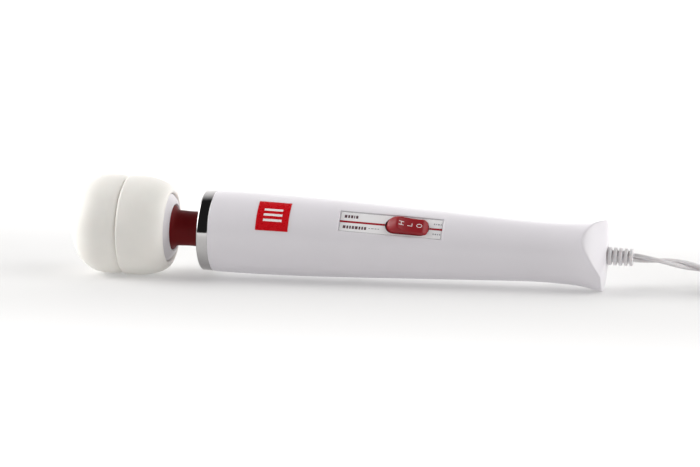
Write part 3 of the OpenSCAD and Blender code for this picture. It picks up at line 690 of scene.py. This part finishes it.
def tail_rows(angles):
    """Out along the flare, over the rounded edge, across the end to the hole, and back inside."""
    rims = [rim_x(a) for a in angles]
    inner = [rim_x(a, WALL) for a in angles]
    rows = []
    for t in steps(0, 1, 18)[1:]:
        rows.append([side(TAIL_X + (x - TAIL_EDGE - TAIL_X) * t, a) for x, a in zip(rims, angles)])
    for t in (0.2, 0.4, 0.6, 0.8, 1.0):
        row = []
        for x, a in zip(rims, angles):
            three = [side(x - TAIL_EDGE, a), side(x, a), face(handle_r(x) - TAIL_EDGE, a)]
            row.append(tuple((1 - t) ** 2 * p + 2 * t * (1 - t) * q + t * t * r for p, q, r in zip(*three)))
        rows.append(row)
    for t in steps(0, 1, 24)[1:]:
        rows.append([face((handle_r(x) - TAIL_EDGE) * (1 - t) + HOLE_R * t, a)
                     for x, a in zip(rims, angles)])
    for t in steps(0, 1, 4):
        rows.append([face(HOLE_R * (1 - t) + (handle_r(x) - WALL) * t, a, WALL)
                     for x, a in zip(inner, angles)])
    for t in steps(1, 0, 6)[1:]:
        rows.append([side(TAIL_X + (x - TAIL_X) * t, a, WALL) for x, a in zip(inner, angles)])
    return rows


def inner_rows(columns, front):
    """The inside from the tail back to the front edge, lower under the label's pocket."""
    stations = [START_X + 0.01, TOP_X, 110, 130, 150, THICK0, 166.5, 180, 200, 215, 227.4, THICK1, 245, 260,
                FLARE_X, 280]
    rows = []
    for x in reversed(stations):
        row = []
        for c in columns:
            _, y, z = side(x, column_angle(c, handle_r(x)), WALL)
            if front and THICK0 <= x <= THICK1 and abs(y) < THICK_HALF:
                z = min(z, floor_z - (x - ROCKER_X) * tan(slope) - WALL)
            row.append((x, y, z))
        rows.append(row)
    return rows


def shell(front):
    """One half of the handle as one closed grid of rows: outside, tail and inside."""
    columns = shell_columns(front)
    angles = [column_angle(c, handle_r(TAIL_X)) for c in columns]
    rows = outer_rows(columns) + tail_rows(angles) + inner_rows(columns, front)
    points, faces = skin(rows, wrap_rows=True, wrap_cols=False)
    n, m = len(rows), len(columns)
    faces.append(tuple(i * m for i in range(n)))
    faces.append(tuple(i * m + m - 1 for i in reversed(range(n))))
    return make("shell_front" if front else "shell_back", points, faces, SHELL, sharp=SHARP)


def stadium(half, width, sides=24, straight=1):
    """Outline of a rounded slot, as (x, y)."""
    r = width / 2
    quarter = pi / 2
    line = [(half - r + r * cos(a), r * sin(a)) for a in steps(-quarter, quarter, sides)]
    line += [(x, r) for x in steps(half - r, r - half, straight)[1:-1]]
    line += [(-half + r + r * cos(a), r * sin(a)) for a in steps(quarter, 3 * quarter, sides)]
    return line + [(x, -r) for x in steps(r - half, half - r, straight)[1:-1]]


def prism(outline_points, low, high, place):
    """A closed prism between two heights, used to cut with."""
    n = len(outline_points)
    points = [place((x, y, z)) for z in (low, high) for x, y in outline_points]
    faces = [tuple(range(n - 1, -1, -1)), tuple(range(n, 2 * n))]
    faces += [(i, (i + 1) % n, n + (i + 1) % n, n + i) for i in range(n)]
    return make("cutter", points, faces, SHELL)


def ring_points(cx, cy, r, sides=48):
    """A circle's outline, as (x, y)."""
    return [(cx + r * cos(a), cy + r * sin(a)) for a in steps(0, 2 * pi, sides)[:-1]]


SLOT_HALF, FILM_HOLE, SLOT_WIDE = 14.2, 13.0, 10.4  # the rocker's slot, and the film's shorter hole
BOSS_R, HEAD_HOLE_R, SCREW_R = 3.4, 2.8, 1.8
front = shell(True)
cut(front, prism(stadium(SLOT_HALF, SLOT_WIDE), -5, 2, on_floor))
finish_edges(front, SHARP, SHELL)
back = shell(False)


def in_wall(p):
    """Drops a screw boss's lower end to the middle of the shell's wall."""
    x, y, z = p
    return (x, y, z if z > -1 else -sqrt((handle_r(x) - WALL / 2) ** 2 - y * y))


for x, y in [(172, 14), (172, -14), (292, 9.2), (292, -9.2)]:
    cut(back, prism(ring_points(x, y, BOSS_R), -2, -0.1, in_wall), "UNION")
    cut(back, prism(ring_points(x, y, HEAD_HOLE_R), -30, -6, lambda p: p))
    cut(back, prism(ring_points(x, y, SCREW_R), -7, 1, lambda p: p))
finish_edges(back, SHARP, SHELL)
for piece, node in ((front, "handle_front"), (back, "handle_back")):
    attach(piece, "handle")
    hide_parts(node)

# ---- label film and its print, and a grey frame round it that is partly painted shade
FILM_T, FILM_EDGE = 0.35, 0.06
film_x0, film_x1, film_y = LABEL0 - ROCKER_X + 0.4, LABEL1 - ROCKER_X - 0.4, LABEL_HALF - 0.3


def film_piece():
    """The film as a grid between its outline and its hole, so that it stays thin and flat."""
    hole = stadium(FILM_HOLE, SLOT_WIDE)
    outer = []
    for x, y in hole:
        a = atan2(y, x)
        reach = film_x1 if x > 0 else -film_x0
        t = min(abs(reach / cos(a)) if abs(cos(a)) > 1e-6 else 1e9,
                abs(film_y / sin(a)) if abs(sin(a)) > 1e-6 else 1e9)
        outer.append((t * cos(a), t * sin(a)))
    for cx, cy in [(film_x1, -film_y), (film_x1, film_y), (film_x0, film_y), (film_x0, -film_y)]:
        nearest = min(range(len(outer)), key=lambda i: (outer[i][0] - cx) ** 2 + (outer[i][1] - cy) ** 2)
        outer[nearest] = (cx, cy)
    top = [(x - copysign(FILM_EDGE, x), y - copysign(FILM_EDGE, y)) for x, y in outer]
    levels = [(0.0, outer), (FILM_T - FILM_EDGE, outer), (FILM_T, top), (FILM_T, hole), (0.0, hole)]
    rows = [[on_floor((x, y, z)) for x, y in line] for z, line in levels]
    return make("label_film", *skin(rows, wrap_rows=True), FILM, sharp=30)


film = film_piece()
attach(film, "handle")
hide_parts("label_panel")


INK_STEP = 0.6


def strips(name, lines, finish, surface, body, thick=0.03):
    """Printed strokes, and the label frame's painted shade: each (points, width) becomes a thin raised
    ribbon that follows a surface.
    """
    points, faces = [], []
    for line, width in lines:
        path = []
        for (x0, y0), (x1, y1) in zip(line, line[1:]):
            n = max(1, int(hypot(x1 - x0, y1 - y0) / INK_STEP))
            path += [(x0 + (x1 - x0) * i / n, y0 + (y1 - y0) * i / n) for i in range(n)]
        path.append(line[-1])
        rows = []
        for i, (x, y) in enumerate(path):
            ax, ay = path[max(i - 1, 0)]
            bx, by = path[min(i + 1, len(path) - 1)]
            if line[0] == line[-1] and i in (0, len(path) - 1):
                (ax, ay), (bx, by) = path[-2], path[1]
            run = hypot(bx - ax, by - ay)
            nx, ny = -(by - ay) / run * width / 2, (bx - ax) / run * width / 2
            rows.append([surface(x + nx, y + ny, 0.0), surface(x + nx, y + ny, thick),
                         surface(x - nx, y - ny, thick), surface(x - nx, y - ny, 0.0)])
        base = len(points)
        more, quads = skin(rows)
        quads += [(3, 2, 1, 0), tuple(len(more) - 4 + k for k in range(4))]
        points += more
        faces += [tuple(base + k for k in f) for f in quads]
    piece = make(name, points, faces, finish, sharp=30)
    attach(piece, body)
    return piece


def on_film(x, y, z):
    """A point over the film's face, from the place under the rocker's middle."""
    return on_floor((x, y, FILM_T + z))


BAR_GAP = 0.55


def bars(x0, x1, y, height, widths):
    """A row of short bars that stands in for a line of print."""
    line, x, i = [], x0, 0
    while x < x1:
        w = widths[i % len(widths)]
        line.append(([(x, y), (min(x + w, x1), y)], height))
        x += w + BAR_GAP
        i += 1
    return line


STRIPE_X, STRIPE_WIDE = 13.1, 1.25
stripe = [([(film_x0 + 0.05, 0), (-STRIPE_X, 0)], STRIPE_WIDE),
          ([(STRIPE_X, 0), (film_x1 - 0.05, 0)], STRIPE_WIDE)]
strips("label_stripe", stripe, FILM_RED, on_film, "handle")
large = bars(-37.4, -29.4, 3.5, 1.9, [1.5, 1.1, 1.3, 0.6])
large += bars(-37.6, -23.6, -3.5, 1.9, [1.6, 1.1, 1.0, 1.3])
strips("label_bars", large, FILM_INK, on_film, "handle")
small = bars(-22.4, -15.6, -3.2, 0.5, [0.9, 1.6, 1.2]) + bars(15.4, 20.0, 3.3, 0.9, [0.8, 0.5, 1.0])
small += bars(15.4, 20.2, -3.3, 0.9, [0.7, 0.9, 0.6])
strips("label_small_bars", small, FILM_GREY, on_film, "handle")
# A thin grey frame round the film: partly a printed frame, and partly painted shade where the pocket's edges
# shade the film.
frame_shade_x0, frame_shade_x1, frame_shade_y = film_x0 + 0.25, film_x1 - 0.25, film_y - 0.22
border = [(frame_shade_x0, -frame_shade_y), (frame_shade_x1, -frame_shade_y), (frame_shade_x1, frame_shade_y), (frame_shade_x0, frame_shade_y),
          (frame_shade_x0, -frame_shade_y)]
strips("label_frame_and_painted_shade", [(border, 0.16)], FILM_GREY, on_film, "handle", thick=0.02)

# ---- rocker
PIVOT_Z, TURN, R_HALF, R_WIDE = -5.0, radians(11), 12.7, 9.6
CREST_X, CREST_Z, SADDLE = 7.6, 9.7, 1.1  # the two crests, and how far the middle lies under them
END_FALL, CROWN = 3.9, 0.22  # how far the ends fall, and the sides under the middle line
DISH_R = 4.0  # the dish ends in a half round at the head's side, and the rocker falls away outside it
DISH_X = -CREST_X + DISH_R
R_EDGE = 1.0  # rounding of the upper edge


def rocker_top(x):
    """Height of the rocker's crown along its length, about its pivot."""
    e = abs(x) / CREST_X
    if e < 1:
        return CREST_Z - SADDLE * (1 - e * e)
    run = (abs(x) - CREST_X) / (R_HALF - CREST_X)
    return CREST_Z - END_FALL * run ** 1.7


def rocker_place(p):
    """From the rocker's own frame, turned with its tail end down, to wand millimetres."""
    x, y, z = p
    return on_floor((x * cos(TURN) + z * sin(TURN), y,
                     PIVOT_Z - x * sin(TURN) + z * cos(TURN)))


def rocker_height(x, y):
    """Height of the top face about the pivot."""
    crown = CROWN * (y / (R_WIDE / 2)) ** 2
    if x < DISH_X:
        out = hypot(x - DISH_X, y) - DISH_R
        if out > 0:
            return CREST_Z - END_FALL * (out / (R_HALF - CREST_X)) ** 1.08 - crown
    return rocker_top(x) - crown


def rocker_ring(half, width):
    """The cap's outline, as (x, y)."""
    return stadium(half, width, 20, 22)


# from the skirt inside the slot up its sides, over the rounded edge and in to the middle line
rows = [[rocker_place((x * 0.6, y * 0.9, -4.5)) for x, y in rocker_ring(R_HALF, R_WIDE)]]
for z, wide in ((-1.5, 0.3), (1.0, 0.3), (2.4, 0.25), (3.3, 0.0)):
    rows.append([rocker_place((x, y, z)) for x, y in rocker_ring(R_HALF + wide, R_WIDE)])
for d in [0.0, 0.04, 0.13, 0.28, 0.48, 0.72] + steps(1.0, 4.79, 14):
    fall = R_EDGE - sqrt(max(0.0, R_EDGE ** 2 - (R_EDGE - min(d, R_EDGE)) ** 2))
    rows.append([rocker_place((x, y, rocker_height(x, y) - fall))
                 for x, y in rocker_ring(R_HALF - d, R_WIDE - 2 * d)])
points, faces = skin(rows)
faces.append(tuple(range(len(rows[0]))))
rocker = make("rocker_cap", points, faces, ROCKER, sharp=55)
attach(rocker, "rocker")
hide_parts("rocker")


def on_rocker(x, y, z):
    """A point over the rocker's top face, from its middle."""
    return rocker_place((x, y, rocker_height(x, y) - 0.02 + z))


STROKE = 0.36


def letter(strokes, centre):
    """Strokes in letter space (across, up) turned so that the letter's top points to the head."""
    return [([(centre - v, u) for u, v in line], STROKE) for line in strokes]


H_MARK = [[(-1.05, -1.5), (-1.05, 1.5)], [(1.05, -1.5), (1.05, 1.5)], [(-1.05, 0), (1.05, 0)]]
L_MARK = [[(-0.8, 1.5), (-0.8, -1.25)], [(-1.05, -1.25), (1.0, -1.25)]]
ring_mark = [(1.05 * cos(a), 1.5 * sin(a)) for a in steps(0, 2 * pi, 24)]
ring_mark[-1] = ring_mark[0]
letters = letter(H_MARK, -4.9) + letter(L_MARK, 0.2) + letter([ring_mark], 5.7)
strips("rocker_marks", letters, MARK, on_rocker, "rocker", thick=0.05)

# ---- badge film with a plain mark
BADGE0, BADGE1, BADGE_TURN, BADGE_MID = 116.4, 135.9, radians(23), radians(91)
BADGE_LOW, BADGE_HIGH = 0.03, 0.22  # its two faces over the handle
BADGE_R, MARK_R = 24.0, 24.3  # round numbers that turn a length across it into an angle


def on_badge(x, turn, lift):
    """A point over the handle at a turn from the badge's middle."""
    r = handle_r(x) + lift
    return (x, r * cos(BADGE_MID + turn), r * sin(BADGE_MID + turn))


def badge_grid(inset, lift):
    """One face of the badge, smaller all round by an inset."""
    turn = BADGE_TURN - inset / BADGE_R
    return [[on_badge(x, t, lift) for t in steps(-turn, turn, 24)]
            for x in steps(BADGE0 + inset, BADGE1 - inset, 16)]


def slab(low_rows, high_rows):
    """Closes two grids of the same size into a thin slab."""
    n, m = len(low_rows), len(low_rows[0])
    points, faces = skin(low_rows, wrap_cols=False)
    more, top = skin(high_rows, wrap_cols=False)
    base = len(points)
    faces += [tuple(base + k for k in f) for f in top]
    border = [i * m for i in range(n)] + [(n - 1) * m + j for j in range(1, m)]
    border += [i * m + m - 1 for i in range(n - 2, -1, -1)] + [j for j in range(m - 2, 0, -1)]
    for a, b in zip(border, border[1:] + border[:1]):
        faces.append((a, b, base + b, base + a))
    return points + more, faces


badge = make("badge_film_plate", *slab(badge_grid(0, BADGE_LOW), badge_grid(0.05, BADGE_HIGH)), BADGE,
             sharp=30)
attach(badge, "handle")
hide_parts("badge")


def badge_surface(x, y, z):
    """A point over the badge's face."""
    return on_badge(x, y / MARK_R, BADGE_HIGH + z)


mid = (BADGE0 + BADGE1) / 2
BAR_HALF, BAR_WIDE = 5.6, 1.5
three_bars = [([(mid - BAR_HALF, y), (mid + BAR_HALF, y)], BAR_WIDE) for y in (3.4, 0, -3.4)]
strips("badge_mark", three_bars, MARK, badge_surface, "handle")

# ---- strain relief
RIDGES, RIDGE_PITCH, GROOVE_R = 5, 3.125, 3.65
relief_profile = [(0, 311.5), (7, 311.5), (7, 317.4), (5.5, 317.5), (5.5, 321.4), (GROOVE_R, 321.6)]
for i in range(RIDGES):
    x, r = 322.3 + RIDGE_PITCH * i, 5.3 - 0.05 * i
    relief_profile += [(GROOVE_R, x - 0.02), (r - 0.3, x + 0.02), (r - 0.08, x + 0.1), (r, x + 0.3),
                       (r, x + 1.6), (r - 0.08, x + 1.8), (r - 0.3, x + 1.88)]
    if i < RIDGES - 1:
        relief_profile += [(GROOVE_R, x + 1.92)]
relief_profile += [(3.2, EXIT_X), (0, EXIT_X)]
relief = make("cord_relief", *lathe(relief_profile, 96, closed=False), RELIEF, sharp=50)
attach(relief, "handle")
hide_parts("strain_relief")

# ---- finishes of the CAD nodes that stay
STEEL, BLACK, BRASS, GREY = (0.55, 0.54, 0.52), (0.03, 0.03, 0.032), (0.72, 0.52, 0.20), (0.30, 0.30, 0.31)
SHELL_COLOUR, IRON, COPPER = (0.80, 0.775, 0.81), (0.50, 0.50, 0.49), (0.72, 0.33, 0.18)
SCREW = dict(metal=1, fleck=0.15, fleck_mm=2)
BEARING = dict(metal=1, fleck=0.06, fleck_mm=1.5)
SHAFT = dict(metal=1, stretch=(0.1, 1, 1), fleck_mm=1)
RUBBER = dict(fleck=0.3, grain_mm=0.5, depth_mm=0.03, kind="leather")
MOULDED = dict(fleck=0.2, grain_mm=0.4, depth_mm=0.01)
CAST = dict(fleck=0.1, grain_mm=0.4, depth_mm=0.01)
PRESSED = dict(metal=1, fleck=0.12, fleck_mm=2)
looks = {
    "head_core": ((0.22, 0.22, 0.23), 0.5, dict(grain_mm=0.6, depth_mm=0.02)),
    "hub_screws": (STEEL, 0.3, SCREW),
    "front_bearing": (STEEL, 0.2, BEARING),
    "rear_bearing": (STEEL, 0.2, BEARING),
    "eccentric_shaft": (STEEL, 0.25, SHAFT),
    "eccentric_weight": ((0.20, 0.19, 0.18), 0.55,
                         dict(metal=0.8, fleck=0.3, fleck_mm=2, grain_mm=0.4, depth_mm=0.05)),
    "neck_spring": (STEEL, 0.3, dict(metal=1, fleck=0.12, fleck_mm=1.2)),
    "drive_coupling": (BLACK, 0.55, dict(fleck=0.3, grain_mm=0.3, depth_mm=0.02)),
    "nose_cap": (SHELL_COLOUR, 0.34, dict(fleck=0.02, fleck_mm=20, grain_mm=0.3, depth_mm=0.004)),
    "boot_clamp": (GREY, 0.5, CAST),
    "clamp_screws": (STEEL, 0.3, SCREW),
    "handle_screws": ((0.16, 0.155, 0.15), 0.35,
                      dict(metal=1, fleck=0.25, fleck_mm=1.5, grain_mm=0.3, depth_mm=0.01)),
    "front_motor_mount": (BLACK, 0.7, RUBBER),
    "rear_motor_mount": (BLACK, 0.7, RUBBER),
    "motor_can": (IRON, 0.3, dict(metal=1, fleck=0.08, stretch=(0.15, 1, 1), fleck_mm=1.5)),
    "field_magnets": ((0.06, 0.06, 0.065), 0.6, dict(fleck=0.3, fleck_mm=1.5, grain_mm=0.3, depth_mm=0.03)),
    "motor_end_bell": (BLACK, 0.45, MOULDED),
    "motor_bushes": ((0.50, 0.30, 0.12), 0.45,
                     dict(metal=1, fleck=0.25, fleck_mm=1, grain_mm=0.2, depth_mm=0.02)),
    "motor_shaft": (STEEL, 0.2, SHAFT),
    "armature": ((0.28, 0.28, 0.29), 0.4,
                 dict(metal=1, stretch=(6, 0.3, 0.3), fleck=0.35, fleck_mm=3, grain_mm=2, depth_mm=0.03)),
    "armature_winding": ((0.45, 0.12, 0.03), 0.3,
                         dict(metal=0.7, stretch=(0.1, 4, 4), fleck=0.45, fleck_mm=1.5, grain_mm=1,
                              depth_mm=0.12)),
    "commutator": (COPPER, 0.25, dict(metal=1, fleck=0.15, fleck_mm=1)),
    "brush_holders": (BRASS, 0.3, PRESSED),
    "carbon_brushes": ((0.03, 0.03, 0.03), 0.65, dict(fleck=0.4, fleck_mm=0.6, grain_mm=0.2, depth_mm=0.02)),
    "circuit_board": ((0.02, 0.13, 0.05), 0.35,
                      dict(fleck=0.35, fleck_mm=3, grain_mm=0.5, depth_mm=0.02, coat=0.3)),
    "rectifier_diodes": (BLACK, 0.4, dict(fleck=0.3, fleck_mm=1)),
    "smoothing_capacitor": ((0.03, 0.045, 0.16), 0.25, dict(fleck=0.15, coat=0.4)),
    "switch_frame": (BLACK, 0.45, MOULDED),
    "switch_terminals": (BRASS, 0.3, PRESSED),
    "inner_leads": ((0.70, 0.69, 0.68), 0.4, dict(fleck=0.05, grain_mm=0.4, depth_mm=0.01)),
    "cord_clamp": (GREY, 0.5, CAST),
    "cord_clamp_screws": (STEEL, 0.3, SCREW),
    "plug_blades": ((0.72, 0.56, 0.28), 0.25, dict(metal=1, stretch=(0.15, 1, 1), fleck=0.12, fleck_mm=1.5)),
}
for node, (colour, rough, more) in looks.items():
    item = frame["nodes"][node]
    item.data.materials.clear()
    item.data.materials.append(stuff(node + "_look", colour, rough, **more))

# ---- floor
FLOOR_HALF = 14.0
ground = cad_low.z - 0.00002  # a hair under the lowest CAD point
corners = [(-FLOOR_HALF, -FLOOR_HALF), (FLOOR_HALF, -FLOOR_HALF), (FLOOR_HALF, FLOOR_HALF),
           (-FLOOR_HALF, FLOOR_HALF)]
floor_mesh = bpy.data.meshes.new("floor")
floor_mesh.from_pydata([(x, y, ground) for x, y in corners], [], [(0, 1, 2, 3)])
floor = bpy.data.objects.new("floor", floor_mesh)
scene.collection.objects.link(floor)
floor_mesh.materials.append(stuff("floor_look", (0.57, 0.566, 0.562), 0.8, fleck=0.004, fleck_mm=300,
                                  grain_mm=4, depth_mm=0.0, level=0.1))
# it glows a little, and more with the distance before and behind the wand, so that it fades to white
glow = floor_mesh.materials[0].node_tree
spot = glow.nodes.new("ShaderNodeTexCoord")
parts = glow.nodes.new("ShaderNodeSeparateXYZ")
away = glow.nodes.new("ShaderNodeMath")
away.operation = "ABSOLUTE"
lift = glow.nodes.new("ShaderNodeMapRange")
lift.interpolation_type = "SMOOTHSTEP"
for key, value in (("From Min", 0.06), ("From Max", 0.34), ("To Min", 0.26), ("To Max", 0.55)):
    lift.inputs[key].default_value = value
glow.links.new(spot.outputs["Object"], parts.inputs[0])
glow.links.new(parts.outputs["Y"], away.inputs[0])
glow.links.new(away.outputs[0], lift.inputs["Value"])
shine = glow.nodes["Principled BSDF"]
shine.inputs["Emission Color"].default_value = (1, 1, 1, 1)
glow.links.new(lift.outputs["Result"], shine.inputs["Emission Strength"])

# ---- light
# A bright wall behind the object, a softer light from there up to overhead, and a lamp on each side.
# The rest of the room is nearly dark. The camera itself sees plain white.
world = bpy.data.worlds.new("studio")
scene.world = world
world.use_nodes = True
tree = world.node_tree
link = tree.links.new
tree.nodes.clear()


def math_node(operation, a, b):
    """The result of a sum or the like of two values, each a number or another node's output."""
    n = tree.nodes.new("ShaderNodeMath")
    n.operation = operation
    for socket, value in zip(n.inputs, (a, b)):
        if isinstance(value, (int, float)):
            socket.default_value = value
        else:
            link(value, socket)
    return n.outputs[0]


def times(a, b):
    return math_node("MULTIPLY", a, b)


def rise(value, low, high):
    """From 0 where the value is low to 1 where it is high."""
    n = tree.nodes.new("ShaderNodeMapRange")
    n.interpolation_type = "SMOOTHSTEP"
    link(value, n.inputs["Value"])
    n.inputs["From Min"].default_value = low
    n.inputs["From Max"].default_value = high
    return n.outputs["Result"]


AMBIENT, WALL_LIGHT, TOP_LIGHT, KEY_LIGHT, FILL_LIGHT = 0.02, 0.73, 0.85, 8.2, 4.4
where = tree.nodes.new("ShaderNodeTexCoord")
axes = tree.nodes.new("ShaderNodeSeparateXYZ")
link(where.outputs["Generated"], axes.inputs["Vector"])
dx, dy, dz = axes.outputs[0], axes.outputs[1], axes.outputs[2]
leftward = times(dx, -1.0)
# the angle over the camera's side of the table, so that 180 degrees is level behind the object
angle = math_node("ARCTAN2", dz, times(dy, -1.0))
low_back = times(rise(angle, radians(118), radians(165)), WALL_LIGHT)
overhead = times(rise(angle, radians(98), radians(130)), TOP_LIGHT)
# the lamps shine from beside the object, not from before or behind it
side_on = times(rise(dy, -0.7, 0.0), math_node("SUBTRACT", 1.0, rise(dy, 0.05, 0.5)))
key = times(times(rise(leftward, 0.48, 0.9), rise(dz, -0.02, 0.22)), side_on)
front_right = times(rise(dy, -0.9, -0.1), math_node("SUBTRACT", 1.0, rise(dy, 0.0, 0.45)))
far_side = times(times(rise(dx, 0.35, 0.8), rise(dz, 0.05, 0.4)), front_right)
level = math_node("ADD", math_node("ADD", AMBIENT, low_back), overhead)
level = math_node("ADD", level, times(key, KEY_LIGHT))
level = math_node("ADD", level, times(far_side, FILL_LIGHT))
light = tree.nodes.new("ShaderNodeBackground")
light.inputs["Color"].default_value = (1.0, 0.995, 0.99, 1)
link(level, light.inputs["Strength"])
plain = tree.nodes.new("ShaderNodeBackground")
plain.inputs["Strength"].default_value = 1.0
plain.inputs["Color"].default_value = (1, 1, 1, 1)
seen = tree.nodes.new("ShaderNodeLightPath")
pick = tree.nodes.new("ShaderNodeMixShader")
link(seen.outputs["Is Camera Ray"], pick.inputs[0])
link(light.outputs[0], pick.inputs[1])
link(plain.outputs[0], pick.inputs[2])
out = tree.nodes.new("ShaderNodeOutputWorld")
link(pick.outputs[0], out.inputs["Surface"])
